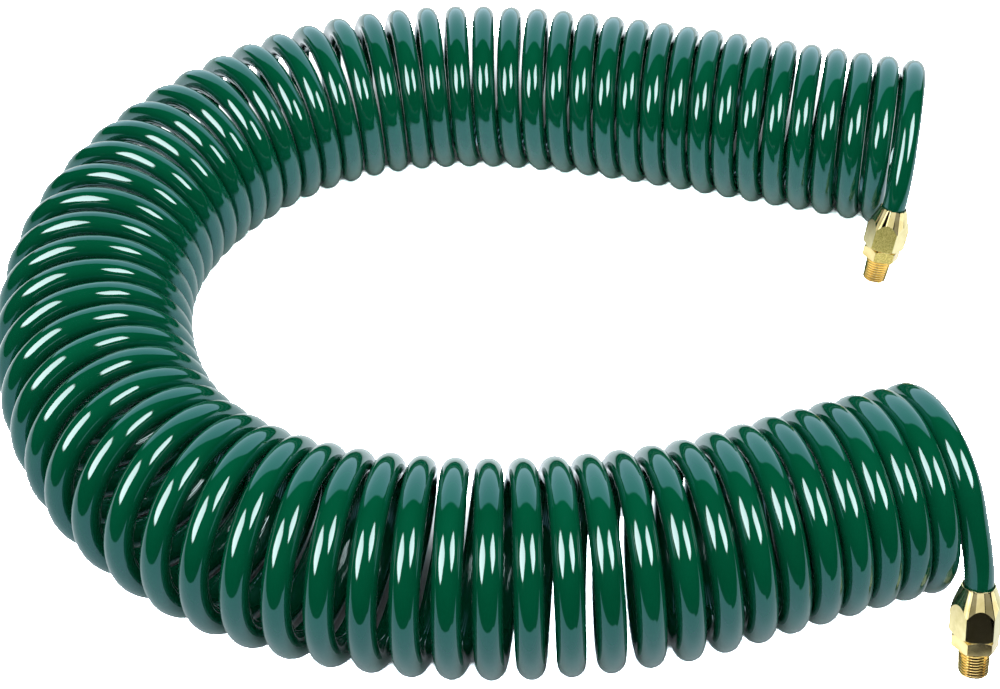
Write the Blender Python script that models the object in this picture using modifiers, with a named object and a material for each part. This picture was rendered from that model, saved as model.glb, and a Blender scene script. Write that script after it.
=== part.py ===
"""Recoil air hose, lying in an open C, with a brass screw fitting on each end.

The hose is a polyurethane tube wound into a tight coil. The coil is one fat
tube of the turns' outside diameter, open through its middle, with one rounded
ridge for each turn. At each end the hose leaves the top of its last turn, runs
down the outside of the coil's end face and enters a brass compression nut,
which is screwed onto a male threaded adapter. Metres, +Z up, resting on Z = 0.
"""
from math import cos, pi, radians, sin

import bmesh
import bpy
import numpy as np
from mathutils import Matrix, Vector

# Hose
HOSE_DIAMETER = 0.012
HOSE_BORE = 0.008
HOSE_SIDES_RESOLUTION = 3
HOSE_POINT_SPACING = 0.006

# Coil
COIL_DIAMETER = 0.090
TURNS = 66
VALLEY_DEPTH = 0.0045
SHOULDER = 0.27
COIL_SIDES_RESOLUTION = 6
BORE_POINT_SPACING = 0.016

# Plan of the coil's axis, from the far end round to the near end, and the point that it is centred on
AXIS_ROUTE = (
    (0.218, 0.107),
    (0.138, 0.1295),
    (0.060, 0.149),
    (-0.025, 0.158),
    (-0.098, 0.141),
    (-0.157, 0.093),
    (-0.191, 0.018),
    (-0.183, -0.057),
    (-0.142, -0.122),
    (-0.083, -0.156),
    (-0.005, -0.167),
    (0.070, -0.158),
    (0.135, -0.140),
    (0.183, -0.1275),
)
PLAN_ORIGIN = (-0.0067, -0.0044)
PLAN_SPACING = 0.001

# Hose ends, seen from the coil's end face
LEAVE_ANGLE = {"near": radians(57), "far": radians(47)}
FITTING_TILT = {"near": radians(63), "far": radians(71)}
FITTING_LEAN = radians(7)
FITTING_DISTANCE = {"near": 0.0197, "far": 0.0177}
FITTING_OFFSET = 0.0055
NUT_TURN = {"near": radians(6), "far": radians(25)}
ADAPTER_TURN = {"near": radians(10), "far": radians(40)}

# Brass fittings, from the thread's tip towards the hose
THREAD_DIAMETER = 0.013157
THREAD_PITCH = 0.001337
THREAD_DEPTH = 0.000856
THREAD_LENGTH = 0.0127
THREAD_RUNOUT = 0.0011
THREAD_FLANK_SHARE = 0.4
COLLAR_ACROSS_FLATS = 0.017
COLLAR_LENGTH = 0.0062
COLLAR_CHAMFER = 0.0006
BOSS_DIAMETER = 0.0150
BOSS_LENGTH = 0.0072
SPIGOT_WALL = 0.0009
SPIGOT_LENGTH = 0.010
NUT_ACROSS_FLATS = 0.019
NUT_LENGTH = 0.0221
NUT_HEX_LENGTH = 0.0097
NUT_MOUTH_WALL = 0.0008
NUT_CHAMFER = 0.0007
CHAMFER_SLOPE = 1.5
TURNED_STEPS = 24

# Clearance between touching pieces
GAP = 0.0003

MATERIALS = {
    "hose_polyurethane": ((0.0, 0.09, 0.03, 1.0), 0.12, 0.0),
    "nut_brass": ((0.86, 0.74, 0.42, 1.0), 0.15, 1.0),
    "adapter_brass": ((0.84, 0.62, 0.25, 1.0), 0.22, 1.0),
}


def clear_scene():
    for thing in list(bpy.data.objects):
        bpy.data.objects.remove(thing, do_unlink=True)


def new_collection(name):
    collection = bpy.data.collections.new(name)
    bpy.context.scene.collection.children.link(collection)
    return collection


def make_material(name):
    colour, roughness, metallic = MATERIALS[name]
    material = bpy.data.materials.new(name)
    material.use_nodes = True
    shader = material.node_tree.nodes["Principled BSDF"]
    shader.inputs["Base Color"].default_value = colour
    shader.inputs["Roughness"].default_value = roughness
    shader.inputs["Metallic"].default_value = metallic
    return material


def as_cutter(thing):
    thing.hide_render = True
    thing.display_type = "WIRE"
    return thing


def boolean(thing, operation, tool):
    step = thing.modifiers.new(operation.lower(), "BOOLEAN")
    step.operation = operation
    step.object = tool


# Coil's axis


def smooth_plan(points, spacing):
    """Return points, about spacing apart, on a natural cubic spline through the route."""
    route = np.array(points)
    knots = np.concatenate(([0.0], np.cumsum(np.linalg.norm(np.diff(route, axis=0), axis=1))))
    steps = np.diff(knots)
    count = len(knots)
    system = np.eye(count)
    right = np.zeros((count, 2))
    for i in range(1, count - 1):
        system[i, i - 1] = steps[i - 1]
        system[i, i] = 2 * (steps[i - 1] + steps[i])
        system[i, i + 1] = steps[i]
        slope_after = (route[i + 1] - route[i]) / steps[i]
        slope_before = (route[i] - route[i - 1]) / steps[i - 1]
        right[i] = 6 * (slope_after - slope_before)
    bend = np.linalg.solve(system, right)
    places = np.linspace(0.0, knots[-1], int(knots[-1] / spacing) + 1)
    result = []
    for place in places:
        i = min(int(np.searchsorted(knots, place, side="right")) - 1, count - 2)
        a = (knots[i + 1] - place) / steps[i]
        b = 1.0 - a
        curve = (a**3 - a) * bend[i] + (b**3 - b) * bend[i + 1]
        result.append(a * route[i] + b * route[i + 1] + curve * steps[i] ** 2 / 6)
    return np.array(result)


class CoilAxis:
    """The coil's axis as a measured line, with the place of every turn along it."""

    def __init__(self):
        origin = np.array(PLAN_ORIGIN)
        self.plan = smooth_plan(AXIS_ROUTE, PLAN_SPACING) - origin
        lengths = np.linalg.norm(np.diff(self.plan, axis=0), axis=1)
        self.run = np.concatenate(([0.0], np.cumsum(lengths)))
        slope = np.gradient(self.plan, self.run, axis=0)
        heading = np.unwrap(np.arctan2(slope[:, 1], slope[:, 0]))
        self.heading = heading
        curvature = np.abs(np.gradient(heading, self.run))
        # Turns keep an even pitch on the inner side of the bend and fan out on the outer side.
        inner_share = 1.0 - winding_radius() * curvature
        inner_run = np.concatenate(([0.0], np.cumsum(lengths * inner_share[1:])))
        self.turn = TURNS * inner_run / inner_run[-1]

    def run_at_turn(self, turn):
        return float(np.interp(turn, self.turn, self.run))

    def point(self, run):
        x = float(np.interp(run, self.run, self.plan[:, 0]))
        y = float(np.interp(run, self.run, self.plan[:, 1]))
        return Vector((x, y, COIL_DIAMETER / 2))

    def direction(self, run):
        angle = float(np.interp(run, self.run, self.heading))
        return Vector((cos(angle), sin(angle), 0.0))


def winding_radius():
    return (COIL_DIAMETER - HOSE_DIAMETER) / 2


# Tubes


def make_tube(name, points, radius, resolution, swell=None):
    """A capped tube mesh along points; swell scales its radius at each point."""
    data = bpy.data.curves.new(name + "_path", "CURVE")
    data.dimensions = "3D"
    data.twist_mode = "Z_UP"
    data.bevel_depth = radius
    data.bevel_resolution = resolution
    data.use_fill_caps = True
    spline = data.splines.new("POLY")
    spline.points.add(len(points) - 1)
    for i, place in enumerate(points):
        spline.points[i].co = (*place, 1.0)
        spline.points[i].radius = 1.0 if swell is None else swell[i]
    path = bpy.data.objects.new(name + "_path", data)
    bpy.context.scene.collection.objects.link(path)
    bpy.context.view_layer.update()
    evaluated = path.evaluated_get(bpy.context.evaluated_depsgraph_get())
    mesh = bpy.data.meshes.new_from_object(evaluated)
    place = path.matrix_world.copy()
    bpy.data.objects.remove(path, do_unlink=True)
    shape = bmesh.new()
    shape.from_mesh(mesh)
    bmesh.ops.remove_doubles(shape, verts=shape.verts, dist=1e-6)
    bmesh.ops.recalc_face_normals(shape, faces=shape.faces)
    shape.to_mesh(mesh)
    shape.free()
    mesh.name = name
    mesh.shade_smooth()
    mesh.set_sharp_from_angle(angle=radians(40))
    tube = bpy.data.objects.new(name, mesh)
    tube.matrix_world = place
    return tube


def make_coil(axis, parts, cutters):
    """The wound hose as one fat tube with its bore, ridged once for each turn."""
    valley = 1.0 - VALLEY_DEPTH / (COIL_DIAMETER / 2)
    stations = [(0.5, 1.0)]
    for turn in range(1, TURNS):
        stations.append((turn - SHOULDER, 1.0))
        stations.append((turn, valley))
        stations.append((turn + SHOULDER, 1.0))
    stations.append((TURNS - 0.5, 1.0))
    points = [axis.point(axis.run_at_turn(turn)) for turn, _ in stations]
    swell = [size for _, size in stations]
    coil = make_tube("hose_coil", points, COIL_DIAMETER / 2, COIL_SIDES_RESOLUTION, swell)
    parts.objects.link(coil)

    first = axis.run_at_turn(0.5)
    last = axis.run_at_turn(TURNS - 0.5)
    count = int((last - first) / BORE_POINT_SPACING) + 1
    inside = [axis.point(run) for run in np.linspace(first, last, count)]
    inside.insert(0, inside[0] - axis.direction(first) * HOSE_DIAMETER)
    inside.append(inside[-1] + axis.direction(last) * HOSE_DIAMETER)
    bore_radius = COIL_DIAMETER / 2 - HOSE_DIAMETER
    bore = make_tube("coil_bore", inside, bore_radius, COIL_SIDES_RESOLUTION)
    cutters.objects.link(as_cutter(bore))
    boolean(coil, "DIFFERENCE", bore)
    return coil


# Hose ends


class HoseEnd:
    """Where one end of the hose runs, from the top of its last turn to the thread's tip."""

    def __init__(self, side, axis):
        self.side = side
        near = side == "near"
        run = axis.run_at_turn(TURNS - 0.5 if near else 0.5)
        self.face_centre = axis.point(run)
        self.outward = axis.direction(run) * (1 if near else -1)
        self.front = Vector((self.outward.y, -self.outward.x, 0.0))
        tilt = FITTING_TILT[side]
        level_way = self.front * cos(FITTING_LEAN) - self.outward * sin(FITTING_LEAN)
        self.fitting_way = level_way * cos(tilt) - Vector((0, 0, sin(tilt)))
        tip_height = THREAD_DIAMETER / 2 * cos(tilt)
        self.tip = (
            self.face_centre
            + self.outward * FITTING_OFFSET
            + self.front * (COIL_DIAMETER / 2 + FITTING_DISTANCE[side])
        )
        self.tip.z = tip_height

    def on_axis(self, from_tip):
        return self.tip - self.fitting_way * from_tip

    def route(self):
        """Points down the last quarter turn, then along a smooth curve into the fitting."""
        radius = winding_radius()
        lift = HOSE_DIAMETER / 2 + GAP
        pitch = HOSE_DIAMETER + GAP
        leave = LEAVE_ANGLE[self.side]
        points = []
        arc_count = int(radius * leave / HOSE_POINT_SPACING) + 1
        for i in range(arc_count + 1):
            angle = leave * i / arc_count
            points.append(
                self.face_centre
                + self.outward * (lift + pitch * angle / (2 * pi))
                + self.front * radius * sin(angle)
                + Vector((0, 0, radius * cos(angle)))
            )
        start = points[-1]
        start_way = self.front * cos(leave) - Vector((0, 0, sin(leave)))
        mouth = self.on_axis(fitting_length())
        stop = self.on_axis(hose_stop())
        reach = (mouth - start).length
        count = int(reach / HOSE_POINT_SPACING) + 1
        for i in range(1, count + 1):
            t = i / count
            points.append(
                start * (2 * t**3 - 3 * t**2 + 1)
                + start_way * reach * (t**3 - 2 * t**2 + t)
                + mouth * (3 * t**2 - 2 * t**3)
                + self.fitting_way * reach * (t**3 - t**2)
            )
        points.append(stop)
        return points

    def fitting_frame(self, turn):
        """Origin on the thread's tip, Z towards the hose, X out of a flat that faces up, then turned."""
        z_axis = -self.fitting_way
        y_axis = z_axis.cross(self.front).normalized()
        facing = y_axis.cross(z_axis)
        frame = Matrix((facing, y_axis, z_axis)).transposed().to_4x4()
        frame.translation = self.tip
        return frame @ Matrix.Rotation(turn[self.side], 4, "Z")


def collar_top():
    return THREAD_LENGTH + COLLAR_LENGTH


def hose_stop():
    """How far the hose's cut end lies from the thread's tip, on the adapter's boss."""
    return collar_top() + BOSS_LENGTH + GAP


def fitting_length():
    return collar_top() + GAP + NUT_LENGTH


def make_hose_end(end, parts, cutters):
    points = end.route()
    name = "hose_end_" + end.side
    hose = make_tube(name, points, HOSE_DIAMETER / 2, HOSE_SIDES_RESOLUTION)
    parts.objects.link(hose)
    before = points[0] - (points[1] - points[0]).normalized() * HOSE_DIAMETER
    after = points[-1] + end.fitting_way * HOSE_DIAMETER
    through = [before, *points, after]
    bore = make_tube(name + "_bore", through, HOSE_BORE / 2, HOSE_SIDES_RESOLUTION)
    cutters.objects.link(as_cutter(bore))
    boolean(hose, "DIFFERENCE", bore)
    return hose


# Brass fittings


def make_turned(name, profile):
    """A solid turned about Z from (radius, height) pairs, listed from top to bottom."""
    mesh = bpy.data.meshes.new(name)
    shape = bmesh.new()
    corners = [shape.verts.new((radius, 0.0, height)) for radius, height in profile]
    for upper, lower in zip(corners, corners[1:]):
        shape.edges.new((upper, lower))
    shape.to_mesh(mesh)
    shape.free()
    turned = bpy.data.objects.new(name, mesh)
    screw = turned.modifiers.new("turn", "SCREW")
    screw.axis = "Z"
    screw.steps = TURNED_STEPS
    screw.render_steps = TURNED_STEPS
    screw.use_merge_vertices = True
    screw.merge_threshold = 1e-6
    return turned


def make_hexagon(name, across_flats, bottom, top):
    mesh = bpy.data.meshes.new(name)
    shape = bmesh.new()
    across_corners = across_flats / cos(pi / 6)
    place = Matrix.Translation((0, 0, (bottom + top) / 2)) @ Matrix.Rotation(pi / 6, 4, "Z")
    bmesh.ops.create_cone(
        shape,
        cap_ends=True,
        segments=6,
        radius1=across_corners / 2,
        radius2=across_corners / 2,
        depth=top - bottom,
        matrix=place,
    )
    shape.to_mesh(mesh)
    shape.free()
    return bpy.data.objects.new(name, mesh)


def thread_root():
    return THREAD_DIAMETER / 2 - THREAD_DEPTH


def thread_profile():
    """Thread crests and roots, from the run-out under the collar down to the tip."""
    crest = THREAD_DIAMETER / 2
    root = thread_root()
    profile = [(root, THREAD_LENGTH - THREAD_RUNOUT)]
    count = int((THREAD_LENGTH - THREAD_RUNOUT) / THREAD_PITCH)
    for i in range(count):
        top = THREAD_LENGTH - THREAD_RUNOUT - i * THREAD_PITCH
        profile.append((crest, top - THREAD_PITCH * THREAD_FLANK_SHARE))
        profile.append((crest, top - THREAD_PITCH * (1 - THREAD_FLANK_SHARE)))
        profile.append((root, top - THREAD_PITCH))
    profile.append((root, 0.0))
    return profile


def make_adapter(end, material, parts, cutters):
    """Male threaded adapter: spigot and boss inside the nut, hex collar, outside thread."""
    name = "threaded_adapter_" + end.side
    frame = end.fitting_frame(ADAPTER_TURN)
    corner = COLLAR_ACROSS_FLATS / cos(pi / 6) / 2
    adapter = make_hexagon(name, COLLAR_ACROSS_FLATS, THREAD_LENGTH, collar_top())
    envelope = make_turned(name + "_envelope", [
        (0.0, collar_top() + GAP),
        (corner - COLLAR_CHAMFER * CHAMFER_SLOPE, collar_top() + GAP),
        (corner + GAP, collar_top() - COLLAR_CHAMFER),
        (corner + GAP, THREAD_LENGTH + COLLAR_CHAMFER),
        (corner - COLLAR_CHAMFER * CHAMFER_SLOPE, THREAD_LENGTH - GAP),
        (0.0, THREAD_LENGTH - GAP),
    ])
    boss_top = collar_top() + BOSS_LENGTH
    spigot_top = boss_top + SPIGOT_LENGTH
    spigot = HOSE_BORE / 2 - GAP
    stud = make_turned(name + "_stud", [
        (0.0, spigot_top),
        (spigot, spigot_top),
        (spigot, boss_top),
        (BOSS_DIAMETER / 2, boss_top),
        (BOSS_DIAMETER / 2, THREAD_LENGTH + COLLAR_LENGTH / 2),
        (thread_root(), THREAD_LENGTH + COLLAR_LENGTH / 2),
        *thread_profile(),
        (0.0, 0.0),
    ])
    bore_radius = spigot - SPIGOT_WALL
    bore = make_turned(name + "_bore", [
        (0.0, spigot_top + GAP),
        (bore_radius, spigot_top + GAP),
        (bore_radius, -GAP),
        (0.0, -GAP),
    ])
    for tool in (envelope, stud, bore):
        cutters.objects.link(as_cutter(tool))
        tool.matrix_world = frame
    boolean(adapter, "INTERSECT", envelope)
    boolean(adapter, "UNION", stud)
    boolean(adapter, "DIFFERENCE", bore)
    return finish_brass(adapter, frame, material, parts)


def make_nut(end, material, parts, cutters):
    """Compression nut: a hexagon turned down to a cone where the hose goes in."""
    name = "compression_nut_" + end.side
    frame = end.fitting_frame(NUT_TURN)
    bottom = collar_top() + GAP
    top = bottom + NUT_LENGTH
    corner = NUT_ACROSS_FLATS / cos(pi / 6) / 2
    mouth = HOSE_DIAMETER / 2 + GAP
    nut = make_hexagon(name, NUT_ACROSS_FLATS, bottom, top)
    envelope = make_turned(name + "_envelope", [
        (0.0, top + GAP),
        (mouth + NUT_MOUTH_WALL, top + GAP),
        (mouth + NUT_MOUTH_WALL, top - GAP),
        (corner + GAP, bottom + NUT_HEX_LENGTH),
        (corner + GAP, bottom + NUT_CHAMFER),
        (corner - NUT_CHAMFER * CHAMFER_SLOPE, bottom - GAP),
        (0.0, bottom - GAP),
    ])
    socket_top = collar_top() + BOSS_LENGTH + GAP
    bore = make_turned(name + "_bore", [
        (0.0, top + 2 * GAP),
        (mouth, top + 2 * GAP),
        (mouth, socket_top),
        (BOSS_DIAMETER / 2 + GAP, socket_top),
        (BOSS_DIAMETER / 2 + GAP, bottom - 2 * GAP),
        (0.0, bottom - 2 * GAP),
    ])
    for tool in (envelope, bore):
        cutters.objects.link(as_cutter(tool))
        tool.matrix_world = frame
    boolean(nut, "INTERSECT", envelope)
    boolean(nut, "DIFFERENCE", bore)
    return finish_brass(nut, frame, material, parts)


def finish_brass(piece, frame, material, parts):
    piece.matrix_world = frame
    piece.data.materials.append(material)
    parts.objects.link(piece)
    return piece


def build():
    clear_scene()
    parts = new_collection("air_hose")
    cutters = new_collection("cutters")
    polyurethane = make_material("hose_polyurethane")
    nut_brass = make_material("nut_brass")
    adapter_brass = make_material("adapter_brass")

    axis = CoilAxis()
    coil = make_coil(axis, parts, cutters)
    coil.data.materials.append(polyurethane)
    for side in ("near", "far"):
        end = HoseEnd(side, axis)
        hose = make_hose_end(end, parts, cutters)
        hose.data.materials.append(polyurethane)
        make_nut(end, nut_brass, parts, cutters)
        make_adapter(end, adapter_brass, parts, cutters)


build()
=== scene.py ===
# %% [markdown]
# # A recoil air hose
#
# The real object is one long polyurethane tube, wound hot round a mandrel so that it keeps the shape
# of a tight coil. It lies in an open C on a table, with a brass screw fitting on each end.
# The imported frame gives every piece's place and size. This file makes what the eye sees: the wound
# tube itself in place of the plain solid of the coil, and brass fittings with real threads.

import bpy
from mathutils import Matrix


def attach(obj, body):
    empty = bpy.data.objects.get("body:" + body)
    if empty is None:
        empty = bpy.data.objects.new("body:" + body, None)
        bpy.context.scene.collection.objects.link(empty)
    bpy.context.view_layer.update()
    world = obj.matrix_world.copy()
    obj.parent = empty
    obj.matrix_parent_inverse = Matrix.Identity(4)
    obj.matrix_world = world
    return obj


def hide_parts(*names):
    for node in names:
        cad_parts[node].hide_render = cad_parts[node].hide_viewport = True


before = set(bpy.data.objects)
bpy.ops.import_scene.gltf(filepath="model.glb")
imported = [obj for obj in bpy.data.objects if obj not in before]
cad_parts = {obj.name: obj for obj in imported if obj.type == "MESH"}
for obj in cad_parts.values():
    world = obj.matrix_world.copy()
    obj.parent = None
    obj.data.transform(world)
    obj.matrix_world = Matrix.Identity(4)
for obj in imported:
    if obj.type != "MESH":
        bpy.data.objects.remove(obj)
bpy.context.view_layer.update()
print("nodes of the frame:", sorted(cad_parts))

# %% Tools that every cell uses
from math import cos, pi, radians, sin, sqrt

import bmesh
import bpy
import numpy as np
from mathutils import Matrix, Vector

scene = bpy.context.scene


def deselect_all():
    for thing in bpy.context.selected_objects:
        thing.select_set(False)


def choose(thing):
    """Make one object the selected and active one."""
    deselect_all()
    thing.hide_set(False)
    thing.select_set(True)
    bpy.context.view_layer.objects.active = thing
    return thing


# %% [markdown]
# ## The camera
#
# The photograph looks down on the coil at about 47 degrees with a long lens. The camera could be set
# by eye, but the far arm's turns are smaller than the near arm's by a ratio that fixes the distance,
# so the numbers here come from that ratio.

# %% Set the camera
PHOTO_WIDTH = 1000
FOCAL_PIXELS = 1394
SENSOR_WIDTH = 36.0
CAMERA_AIM = Vector((0.0067, 0.0044, 0.0))
CAMERA_DISTANCE = 0.716
CAMERA_ELEVATION = radians(46.8)
CAMERA_RANGE = (0.05, 20.0)

camera_data = bpy.data.cameras.new("camera")
camera_data.sensor_width = SENSOR_WIDTH
camera_data.lens = SENSOR_WIDTH * FOCAL_PIXELS / PHOTO_WIDTH
camera_data.clip_start, camera_data.clip_end = CAMERA_RANGE
camera = bpy.data.objects.new("camera", camera_data)
scene.collection.objects.link(camera)
back = Vector((0.0, -cos(CAMERA_ELEVATION), sin(CAMERA_ELEVATION)))
camera.location = CAMERA_AIM + back * CAMERA_DISTANCE
camera.rotation_euler = (-back).to_track_quat("-Z", "Y").to_euler()
scene.camera = camera
print(f"lens {camera_data.lens:.1f} mm at {CAMERA_DISTANCE} m")

# %% [markdown]
# ## The line that the coil follows
#
# A wound hose has two lines: the axis that the coil bends along, and the helix that the tube itself
# follows round that axis. The axis is a smooth curve through a few points on the table. A natural
# cubic spline is the shape that a springy rod takes through such points, so it has no kinks.

# %% Lay the coil's axis
HOSE_DIAMETER = 0.012
HOSE_BORE = 0.008
COIL_DIAMETER = 0.090
TURNS = 66
WINDING_RADIUS = (COIL_DIAMETER - HOSE_DIAMETER) / 2
GAP = 0.0003
PLAN_SPACING = 0.001
PLAN_ORIGIN = (-0.0067, -0.0044)
AXIS_ROUTE = (
    (0.218, 0.107),
    (0.138, 0.1295),
    (0.060, 0.149),
    (-0.025, 0.158),
    (-0.098, 0.141),
    (-0.157, 0.093),
    (-0.191, 0.018),
    (-0.183, -0.057),
    (-0.142, -0.122),
    (-0.083, -0.156),
    (-0.005, -0.167),
    (0.070, -0.158),
    (0.135, -0.140),
    (0.183, -0.1275),
)


def smooth_plan(points, spacing):
    """Points, about spacing apart, on a natural cubic spline through the route."""
    route = np.array(points)
    knots = np.concatenate(([0.0], np.cumsum(np.linalg.norm(np.diff(route, axis=0), axis=1))))
    steps = np.diff(knots)
    count = len(knots)
    system = np.eye(count)
    right = np.zeros((count, 2))
    for i in range(1, count - 1):
        system[i, i - 1] = steps[i - 1]
        system[i, i] = 2 * (steps[i - 1] + steps[i])
        system[i, i + 1] = steps[i]
        slope_after = (route[i + 1] - route[i]) / steps[i]
        slope_before = (route[i] - route[i - 1]) / steps[i - 1]
        right[i] = 6 * (slope_after - slope_before)
    bend = np.linalg.solve(system, right)
    result = []
    for place in np.linspace(0.0, knots[-1], int(knots[-1] / spacing) + 1):
        i = min(int(np.searchsorted(knots, place, side="right")) - 1, count - 2)
        a = (knots[i + 1] - place) / steps[i]
        b = 1.0 - a
        curve = (a**3 - a) * bend[i] + (b**3 - b) * bend[i + 1]
        result.append(a * route[i] + b * route[i + 1] + curve * steps[i] ** 2 / 6)
    return np.array(result)


plan = smooth_plan(AXIS_ROUTE, PLAN_SPACING) - np.array(PLAN_ORIGIN)
plan_steps = np.linalg.norm(np.diff(plan, axis=0), axis=1)
run = np.concatenate(([0.0], np.cumsum(plan_steps)))
slope = np.gradient(plan, run, axis=0)
heading = np.unwrap(np.arctan2(slope[:, 1], slope[:, 0]))
curvature = np.abs(np.gradient(heading, run))
print(f"the axis is {run[-1]:.3f} m long")

# %% [markdown]
# ## How the turns sit on the axis
#
# A helix with one even pitch looks like a machine part. In the real coil the turns touch on the
# inner side of the bend and fan out on the outer side, some stretches hang slack with slits of light
# between them, and some lean over or sway to one side. Each of these is a short list of values that
# is read evenly along the coil.

# %% Space, turn and lean the turns
BEND_HUG = 0.36
SLACK = (0.011, 0.037, 0.009, -0.038, -0.062, -0.127, -0.058, -0.012, -0.032, -0.026, 0.150)
YAW_DEGREES = (-1.2, -2.0, -0.2, -2.8, -6.6, 0.2, 2.0, -0.3, -5.0, -7.8, -2.2)
LEAN_DEGREES = (2.8, 4.7, 2.9, 0.4, -1.7, -0.7, -1.7, 2.4, 1.9, -3.0, -3.0)
SWAY = (0.0003, -0.0004, 0.0001, 0.0004, 0.0013, 0.0029, -0.0003, 0.0014, -0.0029)
POINTS_PER_TURN = 60

inner_share = 1.0 - BEND_HUG * WINDING_RADIUS * curvature
inner_run = np.concatenate(([0.0], np.cumsum(plan_steps * inner_share[1:])))
slack_at = 1.0 + np.interp(inner_run / inner_run[-1], np.linspace(0, 1, len(SLACK)), SLACK)
turn_at = np.concatenate(([0.0], np.cumsum(np.diff(inner_run) * slack_at[1:])))
turn_at = TURNS * turn_at / turn_at[-1]


def read_evenly(values, turn):
    """A value along the coil, from a list that is spread evenly over its turns."""
    return np.interp(turn, np.linspace(0, TURNS, len(values)), values)


def axis_place(turn):
    """Centre of the coil and direction of its axis at a turn, straight on past either end."""
    run_here = np.interp(turn, turn_at, run)
    angle = np.interp(run_here, run, heading)
    along = np.stack([np.cos(angle), np.sin(angle), np.zeros_like(angle)], axis=-1)
    aside = np.stack([along[:, 1], -along[:, 0], np.zeros_like(angle)], axis=-1)
    flat = np.stack([np.interp(run_here, run, plan[:, i]) for i in (0, 1)], axis=-1)
    centre = np.concatenate([flat, np.full((len(flat), 1), COIL_DIAMETER / 2)], axis=1)
    past = (turn - np.clip(turn, 0, TURNS)) * (HOSE_DIAMETER + GAP)
    return centre + along * past[:, None] + aside * read_evenly(SWAY, turn)[:, None], along


def helix(turn):
    """Points of the hose's centreline; turn 0 is on top of the far end's last turn."""
    centre, along = axis_place(turn)
    yaw = np.radians(read_evenly(YAW_DEGREES, turn))[:, None]
    lean = np.radians(read_evenly(LEAN_DEGREES, turn))[:, None]
    side = np.stack([along[:, 1], -along[:, 0], np.zeros(len(along))], axis=-1)
    up = np.array([0.0, 0.0, 1.0])
    side = side * np.cos(yaw) + along * np.sin(yaw)
    up = up * np.cos(lean) + along * np.sin(lean)
    angle = (2 * pi * turn)[:, None]
    return centre + WINDING_RADIUS * (np.sin(angle) * side + np.cos(angle) * up)


# %% [markdown]
# ## Where the hose ends run
#
# At each end the hose leaves the last turn, comes down the side that faces the camera and runs
# straight into its nut. The fittings are where the frame has them, so their places come from the same
# values as in the frame. A Hermite curve joins the winding to the nut: it starts and ends along
# given directions, as a springy hose held at both ends does.

# %% Place both fittings
LEAVE_ANGLE = {"near": radians(57), "far": radians(47)}
FITTING_TILT = {"near": radians(63), "far": radians(71)}
FITTING_LEAN = radians(7)
FITTING_DISTANCE = {"near": 0.0197, "far": 0.0177}
FITTING_OFFSET = 0.0055
NUT_TURN = {"near": radians(6), "far": radians(25)}
ADAPTER_TURN = {"near": radians(10), "far": radians(40)}
THREAD_DIAMETER = 0.013157
THREAD_LENGTH = 0.0127
COLLAR_LENGTH = 0.0062
BOSS_DIAMETER = 0.0150
BOSS_LENGTH = 0.0072
NUT_LENGTH = 0.0221

COLLAR_TOP = THREAD_LENGTH + COLLAR_LENGTH
BOSS_TOP = COLLAR_TOP + BOSS_LENGTH
HOSE_STOP = BOSS_TOP + GAP
NUT_TOP = COLLAR_TOP + GAP + NUT_LENGTH

even_share = 1.0 - WINDING_RADIUS * curvature
even_run = np.concatenate(([0.0], np.cumsum(plan_steps * even_share[1:])))
even_turn_at = TURNS * even_run / even_run[-1]


def fitting_frame(side):
    """Origin on the thread's tip, Z towards the hose, X on the side that faces up."""
    end_run = np.interp(TURNS - 0.5 if side == "near" else 0.5, even_turn_at, run)
    angle = float(np.interp(end_run, run, heading))
    x, y = (np.interp(end_run, run, plan[:, i]) for i in (0, 1))
    face_centre = Vector((x, y, 0.0))
    outward = Vector((cos(angle), sin(angle), 0.0)) * (1 if side == "near" else -1)
    front = Vector((outward.y, -outward.x, 0.0))
    tilt = FITTING_TILT[side]
    level_way = front * cos(FITTING_LEAN) - outward * sin(FITTING_LEAN)
    way = level_way * cos(tilt) - Vector((0, 0, sin(tilt)))
    tip = face_centre + outward * FITTING_OFFSET + front * (COIL_DIAMETER / 2 + FITTING_DISTANCE[side])
    tip.z = THREAD_DIAMETER / 2 * cos(tilt)
    z_axis = -way
    y_axis = z_axis.cross(front).normalized()
    placed = Matrix((y_axis.cross(z_axis), y_axis, z_axis)).transposed().to_4x4()
    placed.translation = tip
    return placed


fitting_frames = {side: fitting_frame(side) for side in ("near", "far")}
for side, placed in fitting_frames.items():
    print(side, "thread tip at", [round(x, 4) for x in placed.translation])

# %% [markdown]
# ## The hose's centreline
#
# The whole line is one open curve: out of the far nut, up to the first turn, round all 66 turns, and
# down into the near nut. Sixty points a turn keep each turn round to within a twentieth of a
# millimetre.

# %% Join the helix to the fittings
TAIL_SPACING = 0.004


def tail(side):
    """Points from the winding down into the nut, in that order."""
    leave = LEAVE_ANGLE[side] / (2 * pi)
    sign = 1 if side == "near" else -1
    end_turn = TURNS if side == "near" else 0
    count = int(POINTS_PER_TURN * leave)
    turns = end_turn + sign * leave * np.arange(0, count + 1) / count
    arc = helix(turns)
    start = Vector(arc[-1])
    start_way = Vector(arc[-1] - arc[-2]).normalized()
    placed = fitting_frames[side]
    mouth = placed @ Vector((0, 0, NUT_TOP))
    stop = placed @ Vector((0, 0, HOSE_STOP))
    end_way = -placed.col[2].to_3d()
    reach = (mouth - start).length
    count = int(reach / TAIL_SPACING) + 1
    points = [Vector(p) for p in arc]
    for i in range(1, count + 1):
        t = i / count
        points.append(
            start * (2 * t**3 - 3 * t**2 + 1)
            + start_way * reach * (t**3 - 2 * t**2 + t)
            + mouth * (3 * t**2 - 2 * t**3)
            + end_way * reach * (t**3 - t**2)
        )
    count = int((stop - mouth).length / TAIL_SPACING) + 1
    for i in range(1, count + 1):
        points.append(mouth.lerp(stop, i / count))
    return np.array([list(p) for p in points])


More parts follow.
